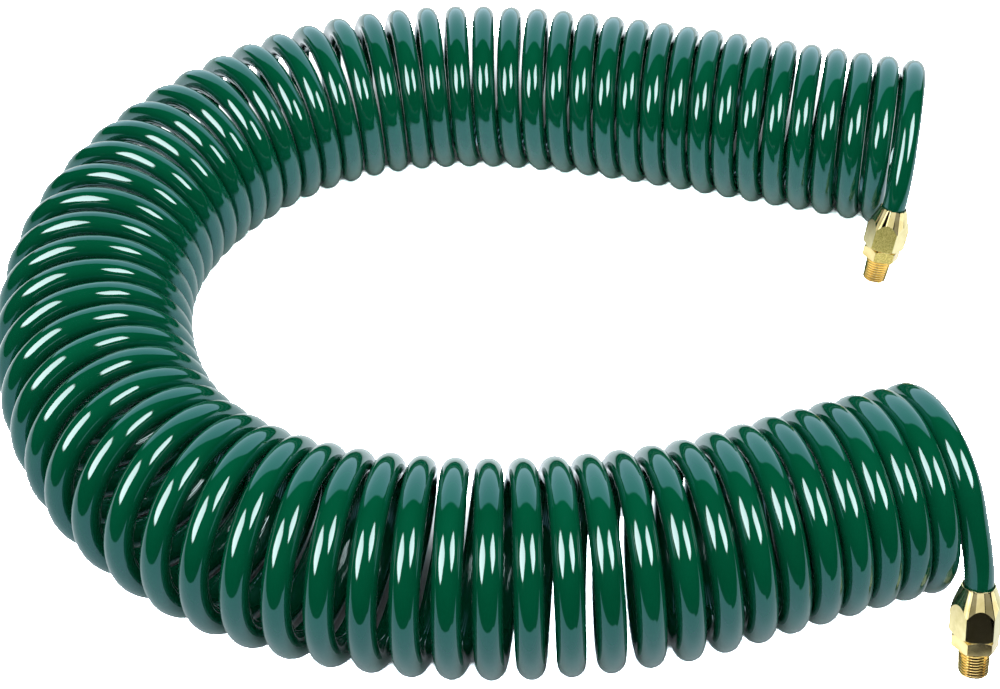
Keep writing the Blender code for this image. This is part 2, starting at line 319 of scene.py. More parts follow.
winding_turns = np.linspace(0, TURNS, TURNS * POINTS_PER_TURN + 1)
winding = helix(winding_turns)
far_tail = tail("far")[:0:-1]
near_tail = tail("near")[1:]
hose_line = np.concatenate([far_tail, winding, near_tail])
hose_run = np.concatenate(([0.0], np.cumsum(np.linalg.norm(np.diff(hose_line, axis=0), axis=1))))

# %% [markdown]
# ## The tube
#
# Blender could sweep this line as a curve with a round bevel. A curve twists its section freely,
# though, and here each point of the surface has to know where it lies on the hose, so that scuffs
# and extrusion lines follow it. So the rings are placed in a loop: the first corner of each ring
# points away from the coil's axis. The place on the straightened hose is stored with each point.

# %% Sweep the tube
HOSE_SIDES = 20
HOLLOW_RINGS = 3
HOSE_SHADE_ANGLE = radians(40)

end_turns = {
    "far": -np.linspace(LEAVE_ANGLE["far"] / (2 * pi), 0, len(far_tail), endpoint=False),
    "near": TURNS + np.linspace(0, LEAVE_ANGLE["near"] / (2 * pi), len(near_tail) + 1)[1:],
}
line_turns = np.concatenate([end_turns["far"], winding_turns, end_turns["near"]])
axis_centres, _ = axis_place(line_turns)
tangent = np.gradient(hose_line, hose_run, axis=0)
tangent /= np.linalg.norm(tangent, axis=1)[:, None]
outward = hose_line - axis_centres
outward -= tangent * (outward * tangent).sum(axis=1)[:, None]
outward /= np.linalg.norm(outward, axis=1)[:, None]
sideways = np.cross(tangent, outward)


def ring(i, radius):
    """Corners of the hose's section at a point of its line, and their places on the straight hose."""
    angles = 2 * pi * np.arange(HOSE_SIDES) / HOSE_SIDES
    out, aside = radius * np.cos(angles), radius * np.sin(angles)
    across = out[:, None] * outward[i] + aside[:, None] * sideways[i]
    flat = np.stack([np.full(HOSE_SIDES, hose_run[i]), out, aside], axis=-1)
    return hose_line[i] + across, flat


last = len(hose_line) - 1
ring_plan = [(i, HOSE_BORE / 2) for i in range(HOLLOW_RINGS, -1, -1)]
ring_plan += [(i, HOSE_DIAMETER / 2) for i in range(last + 1)]
ring_plan += [(last - i, HOSE_BORE / 2) for i in range(HOLLOW_RINGS + 1)]
rings = [ring(i, radius) for i, radius in ring_plan]
corners = np.concatenate([r[0] for r in rings])
places = np.concatenate([r[1] for r in rings])
faces = []
for k in range(len(rings) - 1):
    for j in range(HOSE_SIDES):
        a, b = k * HOSE_SIDES + j, k * HOSE_SIDES + (j + 1) % HOSE_SIDES
        faces.append((a, b, b + HOSE_SIDES, a + HOSE_SIDES))
faces.append(tuple(reversed(range(HOSE_SIDES))))
faces.append(tuple(range((len(rings) - 1) * HOSE_SIDES, len(rings) * HOSE_SIDES)))

hose_mesh = bpy.data.meshes.new("hose")
hose_mesh.from_pydata(corners.tolist(), [], faces)
hose_place = hose_mesh.attributes.new("hose_place", "FLOAT_VECTOR", "POINT")
hose_place.data.foreach_set("vector", places.astype(np.float32).ravel())
hose_mesh.validate()
hose = bpy.data.objects.new("hose", hose_mesh)
scene.collection.objects.link(hose)
choose(hose)
bpy.ops.object.mode_set(mode="EDIT")
bpy.ops.mesh.select_all(action="SELECT")
bpy.ops.mesh.normals_make_consistent(inside=False)
bpy.ops.object.mode_set(mode="OBJECT")
bpy.ops.object.shade_smooth_by_angle(angle=HOSE_SHADE_ANGLE)
print("the tube has", len(hose_mesh.polygons), "faces")

# %% [markdown]
# ## Helpers for the brass pieces
#
# The fittings are made on a lathe from hexagonal bar, so the lesson does the same: a hexagonal prism
# is cut to the outline of a turned body. A turned body is made as by hand: a short cylinder or cone is
# added, and its top face is extruded, scaled and extruded again. Each fitting is modelled upright on
# the thread's tip and then laid where the frame has it.

# %% Turn a body and cut one body with another
TURNED_SIDES = 96


def turned(name, sections):
    """A closed body round Z from (radius, height) pairs, listed from bottom to top."""
    (first_radius, first_height), (next_radius, next_height) = sections[:2]
    bpy.ops.mesh.primitive_cone_add(
        vertices=TURNED_SIDES,
        radius1=first_radius,
        radius2=next_radius,
        depth=next_height - first_height,
        location=(0, 0, (first_height + next_height) / 2),
    )
    body = bpy.context.object
    body.name = name
    bpy.ops.object.transform_apply(location=True, rotation=True, scale=True)
    bpy.ops.object.mode_set(mode="EDIT")
    bpy.ops.mesh.select_all(action="DESELECT")
    bpy.ops.mesh.select_mode(type="FACE")
    edit = bmesh.from_edit_mesh(body.data)
    top = max(edit.faces, key=lambda face: face.calc_center_median().z)
    top.select_set(True)
    bmesh.update_edit_mesh(body.data)
    radius, height = next_radius, next_height
    for wider, higher in sections[2:]:
        bpy.ops.mesh.extrude_region_move(TRANSFORM_OT_translate={"value": (0, 0, higher - height)})
        share = wider / radius
        bpy.ops.transform.resize(value=(share, share, 1), center_override=(0, 0, higher))
        radius, height = wider, higher
    bpy.ops.object.mode_set(mode="OBJECT")
    return body


def hexagon(name, across_flats, bottom, top):
    """A hexagonal bar round Z with one corner on X."""
    bpy.ops.mesh.primitive_cylinder_add(
        vertices=6,
        radius=across_flats / cos(pi / 6) / 2,
        depth=top - bottom,
        location=(0, 0, (bottom + top) / 2),
        rotation=(0, 0, pi / 6),
    )
    bar = bpy.context.object
    bar.name = name
    bpy.ops.object.transform_apply(location=True, rotation=True, scale=True)
    return bar


def cut(body, operation, tool):
    """Apply a Boolean and remove the tool."""
    choose(body)
    step = body.modifiers.new(operation.lower(), "BOOLEAN")
    step.operation = operation
    step.solver = "EXACT"
    step.object = tool
    bpy.ops.object.modifier_apply(modifier=step.name)
    bpy.data.objects.remove(tool, do_unlink=True)
    return body


def soften_edges(body, width, sharper_than):
    """Round the edges a little, as polishing does."""
    choose(body)
    step = body.modifiers.new("polished edges", "BEVEL")
    step.width = width
    step.segments = 2
    step.limit_method = "ANGLE"
    step.angle_limit = sharper_than
    step.miter_outer = "MITER_ARC"
    bpy.ops.object.modifier_apply(modifier=step.name)
    return body


# %% [markdown]
# ## The compression nut
#
# The nut squeezes the hose onto the adapter's spigot. It is a hexagon for half its length, and then it
# is turned to a cone, so each flat ends in a pointed arch where the cone cuts it. The cone ends in
# a thin polished lip round the hose.

# %% Turn one compression nut
NUT_ACROSS_FLATS = 0.019
NUT_HEX_LENGTH = 0.0097
NUT_MOUTH_WALL = 0.0008
NUT_CHAMFER = 0.0011
LIP_ROUNDING = 0.0003
CHAMFER_SLOPE = 1.5
NUT_BOTTOM = COLLAR_TOP + GAP
HOSE_MOUTH = HOSE_DIAMETER / 2 + GAP
SHADE_ANGLE = radians(9)
NUT_EDGES = (0.00012, radians(28))


def make_nut(side):
    corner = NUT_ACROSS_FLATS / cos(pi / 6) / 2
    lip = HOSE_MOUTH + NUT_MOUTH_WALL
    nut = hexagon("compression_nut_" + side + "_brass", NUT_ACROSS_FLATS, NUT_BOTTOM, NUT_TOP)
    envelope = turned("nut_envelope", [
        (corner - NUT_CHAMFER * CHAMFER_SLOPE, NUT_BOTTOM - GAP),
        (corner + GAP, NUT_BOTTOM + NUT_CHAMFER),
        (corner + GAP, NUT_BOTTOM + NUT_HEX_LENGTH),
        (lip, NUT_TOP - 2 * LIP_ROUNDING),
        (lip - LIP_ROUNDING / 3, NUT_TOP - LIP_ROUNDING / 2),
        (lip - LIP_ROUNDING, NUT_TOP + GAP),
    ])
    cut(nut, "INTERSECT", envelope)
    bore = turned("nut_bore", [
        (BOSS_DIAMETER / 2 + GAP, NUT_BOTTOM - GAP),
        (BOSS_DIAMETER / 2 + GAP, HOSE_STOP),
        (HOSE_MOUTH, HOSE_STOP + GAP),
        (HOSE_MOUTH, NUT_TOP - LIP_ROUNDING),
        (HOSE_MOUTH + LIP_ROUNDING, NUT_TOP + LIP_ROUNDING),
    ])
    cut(nut, "DIFFERENCE", bore)
    return soften_edges(nut, *NUT_EDGES)


# %% [markdown]
# ## The threaded adapter
#
# Above the nut's socket the adapter has a boss and a spigot that goes into the hose. Below the collar
# it has a tapered pipe thread. A stack of rings would pass for a thread from afar, but up close the
# ridges have to climb, so a short zigzag is swept up a real helix by the Screw modifier. Each end
# of the helix is then cut off flat.

# %% Cut one pipe thread
THREAD_PITCH = 0.001337
THREAD_DEPTH = 0.000856
THREAD_RUNOUT = 0.0011
THREAD_TAPER = 1 / 16
THREAD_STEPS = 72
THREAD_SHAPE = (
    (0.0, 0.0),
    (0.06, 0.04),
    (0.43, 0.94),
    (0.5, 1.0),
    (0.57, 0.94),
    (0.94, 0.04),
    (1.0, 0.0),
)
WELD = 1e-6
CUT_TOLERANCE = 1e-7


def make_thread(name):
    """A threaded bar from the tip at Z = 0 to the collar, thicker towards the collar."""
    root = THREAD_DIAMETER / 2 - THREAD_DEPTH
    turns = int(THREAD_LENGTH / THREAD_PITCH) + 3
    start = -1.5 * THREAD_PITCH
    zigzag = [
        (root + THREAD_DEPTH * rise, 0.0, start + THREAD_PITCH * share)
        for share, rise in THREAD_SHAPE
    ]
    mesh = bpy.data.meshes.new(name)
    mesh.from_pydata(zigzag, [(i, i + 1) for i in range(len(zigzag) - 1)], [])
    thread = bpy.data.objects.new(name, mesh)
    scene.collection.objects.link(thread)
    choose(thread)
    step = thread.modifiers.new("helix", "SCREW")
    step.axis = "Z"
    step.steps = THREAD_STEPS
    step.render_steps = THREAD_STEPS
    step.screw_offset = THREAD_PITCH
    step.iterations = turns
    step.use_merge_vertices = False
    bpy.ops.object.modifier_apply(modifier=step.name)
    bpy.ops.object.mode_set(mode="EDIT")
    bpy.ops.mesh.select_all(action="SELECT")
    bpy.ops.mesh.remove_doubles(threshold=WELD)
    for height, clear_upper in ((0.0, False), (THREAD_LENGTH + GAP, True)):
        bpy.ops.mesh.select_all(action="SELECT")
        bpy.ops.mesh.bisect(
            plane_co=(0, 0, height),
            plane_no=(0, 0, 1),
            use_fill=True,
            clear_inner=not clear_upper,
            clear_outer=clear_upper,
            threshold=CUT_TOLERANCE,
        )
    bpy.ops.mesh.select_all(action="SELECT")
    bpy.ops.mesh.normals_make_consistent(inside=False)
    bpy.ops.object.mode_set(mode="OBJECT")
    for vertex in thread.data.vertices:
        narrower = 1 - THREAD_TAPER * (THREAD_LENGTH - vertex.co.z) / THREAD_DIAMETER
        vertex.co.x *= narrower
        vertex.co.y *= narrower
    return thread


# %% Turn one adapter
COLLAR_ACROSS_FLATS = 0.017
COLLAR_CHAMFER = 0.0006
COLLAR_TOP_CHAMFER = 0.0013
SPIGOT_WALL = 0.0009
SPIGOT_LENGTH = 0.010
TIP_CHAMFER = 0.0007
ADAPTER_EDGES = (0.0001, radians(50))


def make_adapter(side):
    corner = COLLAR_ACROSS_FLATS / cos(pi / 6) / 2
    name = "threaded_adapter_" + side + "_brass"
    adapter = hexagon(name, COLLAR_ACROSS_FLATS, THREAD_LENGTH, COLLAR_TOP)
    cut(adapter, "INTERSECT", turned("collar_envelope", [
        (corner - COLLAR_CHAMFER * CHAMFER_SLOPE, THREAD_LENGTH - GAP),
        (corner + GAP, THREAD_LENGTH + COLLAR_CHAMFER),
        (corner + GAP, COLLAR_TOP - COLLAR_TOP_CHAMFER),
        (corner - COLLAR_TOP_CHAMFER * CHAMFER_SLOPE, COLLAR_TOP + GAP),
    ]))
    spigot = HOSE_BORE / 2 - GAP
    middle = THREAD_LENGTH + COLLAR_LENGTH / 2
    root = THREAD_DIAMETER / 2 - THREAD_DEPTH
    cut(adapter, "UNION", turned("stud", [
        (root, THREAD_LENGTH - THREAD_RUNOUT),
        (root, middle),
        (BOSS_DIAMETER / 2, middle + GAP),
        (BOSS_DIAMETER / 2, BOSS_TOP),
        (spigot, BOSS_TOP + GAP / 2),
        (spigot, BOSS_TOP + SPIGOT_LENGTH),
    ]))
    soften_edges(adapter, *ADAPTER_EDGES)
    tip = THREAD_DIAMETER / 2 - TIP_CHAMFER - THREAD_TAPER * THREAD_LENGTH / 2
    clear = THREAD_DIAMETER / 2 + GAP
    thread = make_thread("thread")
    cut(thread, "INTERSECT", turned("thread_envelope", [
        (tip, -GAP),
        (tip + TIP_CHAMFER * CHAMFER_SLOPE, TIP_CHAMFER),
        (clear, TIP_CHAMFER + GAP),
        (clear, THREAD_LENGTH - 1.5 * THREAD_RUNOUT),
        (root + GAP / 2, THREAD_LENGTH - THREAD_RUNOUT / 2),
        (root + GAP / 2, THREAD_LENGTH + 2 * GAP),
    ]))
    cut(adapter, "UNION", thread)
    bore = spigot - SPIGOT_WALL
    cut(adapter, "DIFFERENCE", turned("adapter_bore", [
        (bore + 2 * TIP_CHAMFER, -TIP_CHAMFER),
        (bore, TIP_CHAMFER),
        (bore, BOSS_TOP + SPIGOT_LENGTH + GAP),
    ]))
    bpy.ops.object.mode_set(mode="EDIT")
    bpy.ops.mesh.select_all(action="SELECT")
    bpy.ops.mesh.remove_doubles(threshold=WELD)
    bpy.ops.mesh.fill_holes(sides=4)
    bpy.ops.object.mode_set(mode="OBJECT")
    return adapter


# %% Lay the fittings in place
WORN_WAY = Vector((cos(-pi / 6), sin(-pi / 6), 0.0))
WORN_ALIGNED = 0.98


def is_worn(face):
    """Whether a face is the flat of the hexagon that a spanner and the table have rubbed."""
    return face.normal.dot(WORN_WAY) > WORN_ALIGNED and face.center.z > THREAD_LENGTH


def lay_in_place(piece, side, turn):
    """Keep each point's place on the upright fitting for the finish, then move the mesh."""
    upright = piece.data.attributes.new("fitting_place", "FLOAT_VECTOR", "POINT")
    upright.data.foreach_set("vector", [x for vertex in piece.data.vertices for x in vertex.co])
    worn = piece.data.attributes.new("worn", "FLOAT", "FACE")
    shares = [float(side == "far" and is_worn(face)) for face in piece.data.polygons]
    worn.data.foreach_set("value", shares)
    piece.data.transform(fitting_frames[side] @ Matrix.Rotation(turn[side], 4, "Z"))
    choose(piece)
    bpy.ops.object.shade_smooth_by_angle(angle=SHADE_ANGLE)
    return piece


nuts = {side: lay_in_place(make_nut(side), side, NUT_TURN) for side in ("near", "far")}
adapters = {side: lay_in_place(make_adapter(side), side, ADAPTER_TURN) for side in ("near", "far")}
for piece in (*nuts.values(), *adapters.values()):
    print(piece.name, len(piece.data.polygons), "faces")

# %% [markdown]
# ## Helpers for the finishes
#
# Each finish is a Principled shader with a small tree in front of it. What more than one finish uses
# is a node group, built once. A group takes a place on the piece and puts out masks, and
# each material mixes its own colours with them. The places are the ones that were stored with the
# points, so lines run along the hose and rings run round the fittings, wherever these lie.

# %% Wire a node tree
def add_node(tree, kind, **settings):
    node = tree.nodes.new(kind)
    for name, value in settings.items():
        setattr(node, name, value)
    return node


def plug(tree, socket, value):
    """Link a socket to another one, or give it a plain value."""
    if isinstance(value, bpy.types.NodeSocket):
        tree.links.new(value, socket)
    else:
        socket.default_value = value


def feed(tree, node, **inputs):
    """Give a node its inputs by name; an underscore stands for a space."""
    for name, value in inputs.items():
        plug(tree, node.inputs[name.replace("_", " ")], value)
    return node


def stretched(tree, place, factors):
    """The place, scaled along each of its three directions."""
    node = add_node(tree, "ShaderNodeVectorMath", operation="MULTIPLY")
    tree.links.new(place, node.inputs[0])
    node.inputs[1].default_value = factors
    return node.outputs["Vector"]


def noise(tree, place, scale, detail=3.0):
    node = add_node(tree, "ShaderNodeTexNoise")
    feed(tree, node, Vector=place, Scale=scale, Detail=detail)
    return node.outputs["Fac"]


def ramp(tree, value, low, high, to_low=0.0, to_high=1.0):
    """A value between two limits, brought to a new range and held there."""
    node = add_node(tree, "ShaderNodeMapRange")
    feed(tree, node, Value=value, From_Min=low, From_Max=high, To_Min=to_low, To_Max=to_high)
    return node.outputs["Result"]


def arithmetic(tree, operation, first, second):
    node = add_node(tree, "ShaderNodeMath", operation=operation)
    for socket, value in zip(node.inputs, (first, second)):
        plug(tree, socket, value)
    return node.outputs["Value"]


def blend_colours(tree, share, first, second):
    node = add_node(tree, "ShaderNodeMix", data_type="RGBA")
    for number, value in ((0, share), (6, first), (7, second)):
        plug(tree, node.inputs[number], value)
    return node.outputs[2]


def new_group(name, inputs, outputs):
    """An empty node group with its sockets; returns it with its input and output nodes."""
    tree = bpy.data.node_groups.new(name, "ShaderNodeTree")
    for label, kind in inputs.items():
        tree.interface.new_socket(label, in_out="INPUT", socket_type=kind)
    for label, kind in outputs.items():
        tree.interface.new_socket(label, in_out="OUTPUT", socket_type=kind)
    return tree, tree.nodes.new("NodeGroupInput"), tree.nodes.new("NodeGroupOutput")


def place_group(tree, group, **inputs):
    node = add_node(tree, "ShaderNodeGroup", node_tree=group)
    return feed(tree, node, **inputs)


def new_finish(name, attribute, **shader_values):
    """A material with its Principled shader and the stored place of its piece."""
    material = bpy.data.materials.new(name)
    material.use_nodes = True
    tree = material.node_tree
    shader = tree.nodes["Principled BSDF"]
    feed(tree, shader, **shader_values)
    place = add_node(tree, "ShaderNodeAttribute", attribute_name=attribute).outputs["Vector"]
    return material, tree, shader, place


def bump(tree, shader, height, distance, strength):
    node = add_node(tree, "ShaderNodeBump")
    feed(tree, node, Height=height, Distance=distance, Strength=strength)
    tree.links.new(node.outputs["Normal"], shader.inputs["Normal"])


# %% [markdown]
# ## Scratches and handling marks
#
# Both the hose and the brass carry very fine scratches and faint smudges where hands have been.
# Scratches are noise that is stretched far along one direction and cut near its peaks, and
# smudges are broad soft noise. Both come from one group, with a size for each material.

# %% Build the group for handling marks
SCRATCH_PEAKS = (0.66, 0.74)
SMUDGE_RANGE = (0.35, 0.7)


def make_marks_group():
    tree, given, result = new_group(
        "handling_marks",
        {
            "Place": "NodeSocketVector",
            "Scratch Size": "NodeSocketFloat",
            "Smudge Size": "NodeSocketFloat",
        },
        {"Scratches": "NodeSocketFloat", "Smudges": "NodeSocketFloat"},
    )
    scratch = noise(tree, given.outputs["Place"], 1.0, detail=2.0)
    tree.links.new(given.outputs["Scratch Size"], scratch.node.inputs["Scale"])
    tree.links.new(ramp(tree, scratch, *SCRATCH_PEAKS), result.inputs["Scratches"])
    smudge = noise(tree, given.outputs["Place"], 1.0, detail=4.0)
    tree.links.new(given.outputs["Smudge Size"], smudge.node.inputs["Scale"])
    tree.links.new(ramp(tree, smudge, *SMUDGE_RANGE), result.inputs["Smudges"])
    return tree


marks_group = make_marks_group()

# %% [markdown]
# ## Green polyurethane
#
# The hose is a deep bottle green, nearly free of red, and as glossy as wet paint. Most of what the
# eye sees on it is reflection, and that looks bluish on such a green, so the shader's specular tint
# is a pale blue. The colour wanders very slightly along the hose, fine lines run along it
# from the extrusion die, and the flanks that rub on the next turn are scuffed.

# %% Mix the polyurethane
POLYURETHANE = (0.0006, 0.062, 0.027, 1.0)
POLYURETHANE_DEEP = (0.0004, 0.050, 0.021, 1.0)
SCUFFED = (0.030, 0.110, 0.085, 1.0)
REFLECTION_TINT = (0.38, 0.80, 1.0, 1.0)
MOTTLE_SCALE = 28.0
SMUDGE_SCALE = 60.0
EXTRUSION_LINES = (3.0, 700.0, 700.0)
SCUFF_LINES = (120.0, 2400.0, 2400.0)
FLANK = (0.0048, 0.0058)
POLISH = (0.035, 0.075)
SCUFF_PALER = 0.7
SCUFF_ROUGHER = 0.25
HOSE_BUMP = (0.00001, 0.5)


def make_polyurethane():
    material, tree, shader, place = new_finish(
        "hose_polyurethane",
        "hose_place",
        IOR=1.75,
        Specular_Tint=REFLECTION_TINT,
    )
    mottle = ramp(tree, noise(tree, place, MOTTLE_SCALE), 0.3, 0.7)
    lines = noise(tree, stretched(tree, place, EXTRUSION_LINES), 1.0, detail=2.0)
    scuff_place = stretched(tree, place, SCUFF_LINES)
    marks = place_group(tree, marks_group, Place=scuff_place, Scratch_Size=1.0)
    smudges = place_group(tree, marks_group, Place=place, Smudge_Size=SMUDGE_SCALE)
    across = add_node(tree, "ShaderNodeSeparateXYZ")
    tree.links.new(place, across.inputs[0])
    flank = arithmetic(tree, "ABSOLUTE", across.outputs["Z"], 0.0)
    flank = ramp(tree, flank, *FLANK)
    scuffs = arithmetic(tree, "MULTIPLY", flank, marks.outputs["Scratches"])
    colour = blend_colours(tree, mottle, POLYURETHANE_DEEP, POLYURETHANE)
    scuff_share = arithmetic(tree, "MULTIPLY", scuffs, SCUFF_PALER)
    colour = blend_colours(tree, scuff_share, colour, SCUFFED)
    tree.links.new(colour, shader.inputs["Base Color"])
    polish = ramp(tree, smudges.outputs["Smudges"], 0.0, 1.0, *POLISH)
    rough = arithmetic(tree, "ADD", polish, arithmetic(tree, "MULTIPLY", scuffs, SCUFF_ROUGHER))
    tree.links.new(rough, shader.inputs["Roughness"])
    height = arithmetic(tree, "SUBTRACT", arithmetic(tree, "MULTIPLY", lines, 0.4), scuffs)
    bump(tree, shader, height, *HOSE_BUMP)
    return material


hose_mesh.materials.clear()
hose_mesh.materials.append(make_polyurethane())

# %% [markdown]
# ## Brass
#
# The nuts are polished pale brass and the adapters are turned from a redder one. Bright metal
# shows its surroundings, so its own colour is set from the flats that mirror the white table.
# The lathe left fine rings round the axis. The thread is painted a brighter, warmer gold than the rest
# of the adapter, a painted light, and darker in its grooves, a painted shade. One flat of the far
# fitting is rubbed to a speckled dull gold.

# %% Mix both brasses
NUT_BRASS = (0.66, 0.58, 0.31, 1.0)
NUT_BRASS_DULL = (0.50, 0.42, 0.17, 1.0)
ADAPTER_BRASS = (0.74, 0.60, 0.29, 1.0)
ADAPTER_BRASS_DULL = (0.58, 0.42, 0.15, 1.0)
# Painted light and shade on the thread: a brighter gold on its ridges and a darker one in its grooves.
THREAD_PAINTED_LIGHT = (1.0, 0.79, 0.36, 1.0)
GROOVE_PAINTED_SHADE = (0.60, 0.41, 0.14, 1.0)
WORN_BRASS = (1.0, 0.84, 0.30, 1.0)
WORN_BRASS_DARK = (0.50, 0.38, 0.08, 1.0)
THREAD_ROOT = THREAD_DIAMETER / 2 - THREAD_DEPTH
NUT_ROUGHNESS = (0.05, 0.09)
ADAPTER_ROUGHNESS = (0.09, 0.16)
WORN_ROUGHER = 0.25
RING_SCALE = 5200.0
TARNISH_SCALE = 160.0
GRAIN_SCALE = 2600.0
SPECKLE = 6.0
BRASS_BUMP = (0.000008, 0.4)


def make_brass(name, bright, dull, roughness, threaded):
    material, tree, shader, place = new_finish(name, "fitting_place", Metallic=1.0)
    parts = add_node(tree, "ShaderNodeSeparateXYZ")
    tree.links.new(place, parts.inputs[0])
    across = add_node(tree, "ShaderNodeVectorMath", operation="LENGTH")
    tree.links.new(stretched(tree, place, (1.0, 1.0, 0.0)), across.inputs[0])
    radius = across.outputs["Value"]
    along = add_node(tree, "ShaderNodeCombineXYZ")
    tree.links.new(radius, along.inputs["X"])
    tree.links.new(parts.outputs["Z"], along.inputs["Z"])
    rings = noise(tree, along.outputs["Vector"], RING_SCALE, detail=2.0)
    marks = place_group(tree, marks_group, Place=place, Scratch_Size=900.0, Smudge_Size=190.0)
    tarnish = ramp(tree, noise(tree, place, TARNISH_SCALE, detail=5.0), 0.42, 0.75)
    colour = blend_colours(tree, tarnish, bright, dull)
    if threaded:
        # Paint the thread brighter than the adapter's brass, and paint shade into its grooves.
        groove_shade = ramp(tree, radius, THREAD_ROOT - GAP, THREAD_DIAMETER / 2 - GAP, 1.0, 0.0)
        below = ramp(tree, parts.outputs["Z"], THREAD_LENGTH - GAP, THREAD_LENGTH, 1.0, 0.0)
        thread_light_and_shade = blend_colours(tree, groove_shade, THREAD_PAINTED_LIGHT, GROOVE_PAINTED_SHADE)
        colour = blend_colours(tree, below, colour, thread_light_and_shade)
    worn = add_node(tree, "ShaderNodeAttribute", attribute_name="worn").outputs["Fac"]
    grains = ramp(tree, noise(tree, place, GRAIN_SCALE, detail=2.0), 0.4, 0.6)
    worn_colour = blend_colours(tree, grains, WORN_BRASS_DARK, WORN_BRASS)
    colour = blend_colours(tree, worn, colour, worn_colour)
    tree.links.new(colour, shader.inputs["Base Color"])
    smooth = ramp(tree, marks.outputs["Smudges"], 0.0, 1.0, *roughness)
    rough = arithmetic(tree, "ADD", smooth, arithmetic(tree, "MULTIPLY", worn, WORN_ROUGHER))
    tree.links.new(rough, shader.inputs["Roughness"])
    speckle = arithmetic(tree, "MULTIPLY", grains, arithmetic(tree, "MULTIPLY", worn, SPECKLE))
    scratches = arithmetic(tree, "MULTIPLY", marks.outputs["Scratches"], 0.4)
    height = arithmetic(tree, "ADD", arithmetic(tree, "ADD", rings, scratches), speckle)
    bump(tree, shader, height, *BRASS_BUMP)
    return material


nut_brass = make_brass("nut_brass", NUT_BRASS, NUT_BRASS_DULL, NUT_ROUGHNESS, False)
adapter_brass = make_brass(
    "adapter_brass", ADAPTER_BRASS, ADAPTER_BRASS_DULL, ADAPTER_ROUGHNESS, True
)
for pieces, material in ((nuts, nut_brass), (adapters, adapter_brass)):
    for piece in pieces.values():
        piece.data.materials.clear()
        piece.data.materials.append(material)

# %% [markdown]
# ## Put the pieces on the frame
#
# The hose is one free line with a fitting on each end. It and the brass pieces ride on the frame's
# root, and stand for the plain solids of the frame, which are hidden.

# %% Ride and replace
NODES_OF_HOSE = ("hose_coil", "hose_end_near", "hose_end_far")

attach(hose, "root")
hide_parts(*NODES_OF_HOSE)
for side in ("near", "far"):
    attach(nuts[side], "root")
    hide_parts("compression_nut_" + side)
    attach(adapters[side], "root")
    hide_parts("threaded_adapter_" + side)

# %% [markdown]
# ## Table and light
#
# The object lies on a plain pale sheet. The photograph exposes the open sheet to pure white, while
# the little of it that shows between the turns stays dark. So light and shade are painted on the sheet
# for the camera alone, as a gain on its colour: a high gain outside the coil's outline paints away the
# coil's shadows, and a gain that falls softly to a low one at its axis paints shade under the coil.
# One short stretch of the near arm hangs open, and there the sheet is painted white.

# %% Lay the table
TABLE_SIZE = 8.0
TABLE_FINE = 0.32
TABLE_STEPS = 161
LEANINGS = (-0.5, 0.5)
INSIDE_OUTLINE = (0.004, 0.018)
# Painted shade and light on the table: the gain is lowest within DARK_SHARE of the coil's outline and
# climbs to a painted-light gain outside it.
DARK_SHARE = 0.45
FADE_STOPS = (0.0, 0.8, 1.0)
PAINTED_GAINS = (0.3, 1.3, 30.0)
OPEN_STRETCH = (0.010, 0.070)
SHEET_FRONT = -0.48
SHEET_EDGE = 0.015
SHEET_PALE = (0.64, 0.70, 0.76, 1.0)
# Painted shade: beyond the sheet's front edge and past its right-front corner the table is painted
# near black, for the gloss and the brass to mirror.
PAINTED_SHADE_BEYOND = (0.02, 0.02, 0.02, 1.0)
# Painted light: the sheet behind the coil is painted paler, a painted pool of light for the far arm's
# gloss to mirror.
SHEET_PAINTED_LIGHT_BEHIND = (0.92, 0.97, 1.0, 1.0)
PAINTED_LIGHT_FADE = (-0.20, 0.0)
PAINTED_SHADE_CORNER = (0.17, -0.37)


def make_table_finish():
    material = bpy.data.materials.new("table")
    material.use_nodes = True
    tree = material.node_tree
    tree.nodes.clear()
    place = add_node(tree, "ShaderNodeTexCoord").outputs["Object"]
    parts = add_node(tree, "ShaderNodeSeparateXYZ")
    tree.links.new(place, parts.inputs[0])
    # Paint the table near black beyond the sheet's front edge and at its right-front corner, a painted
    # shade.
    sheet = ramp(tree, parts.outputs["Y"], SHEET_FRONT - SHEET_EDGE, SHEET_FRONT + SHEET_EDGE)
    corner_x = ramp(tree, parts.outputs["X"], PAINTED_SHADE_CORNER[0], PAINTED_SHADE_CORNER[0] + SHEET_EDGE)
    corner_y = ramp(tree, parts.outputs["Y"], PAINTED_SHADE_CORNER[1], PAINTED_SHADE_CORNER[1] - SHEET_EDGE)
    corner = arithmetic(tree, "MULTIPLY", corner_x, corner_y)
    sheet = arithmetic(tree, "MULTIPLY", sheet, arithmetic(tree, "SUBTRACT", 1.0, corner))
    # Paint a pool of light on the sheet behind the coil.
    behind = ramp(tree, parts.outputs["Y"], *PAINTED_LIGHT_FADE)
    pale = blend_colours(tree, behind, SHEET_PALE, SHEET_PAINTED_LIGHT_BEHIND)
    colour = blend_colours(tree, sheet, PAINTED_SHADE_BEYOND, pale)
    # For camera rays alone the colour is scaled by the painted gain: painted shade near the coil,
    # painted light on the open table.
    seen_directly = add_node(tree, "ShaderNodeLightPath").outputs["Is Camera Ray"]
    painted_gain = add_node(tree, "ShaderNodeAttribute", attribute_name="painted_light_and_shade").outputs["Fac"]
    more = arithmetic(tree, "MULTIPLY", arithmetic(tree, "SUBTRACT", painted_gain, 1.0), seen_directly)
    gain = add_node(tree, "ShaderNodeVectorMath", operation="SCALE")
    tree.links.new(colour, gain.inputs[0])
    tree.links.new(arithmetic(tree, "ADD", more, 1.0), gain.inputs["Scale"])
    shader = add_node(tree, "ShaderNodeBsdfDiffuse")
    tree.links.new(gain.outputs["Vector"], shader.inputs["Color"])
    output = add_node(tree, "ShaderNodeOutputMaterial")
    tree.links.new(shader.outputs[0], output.inputs["Surface"])
    return material


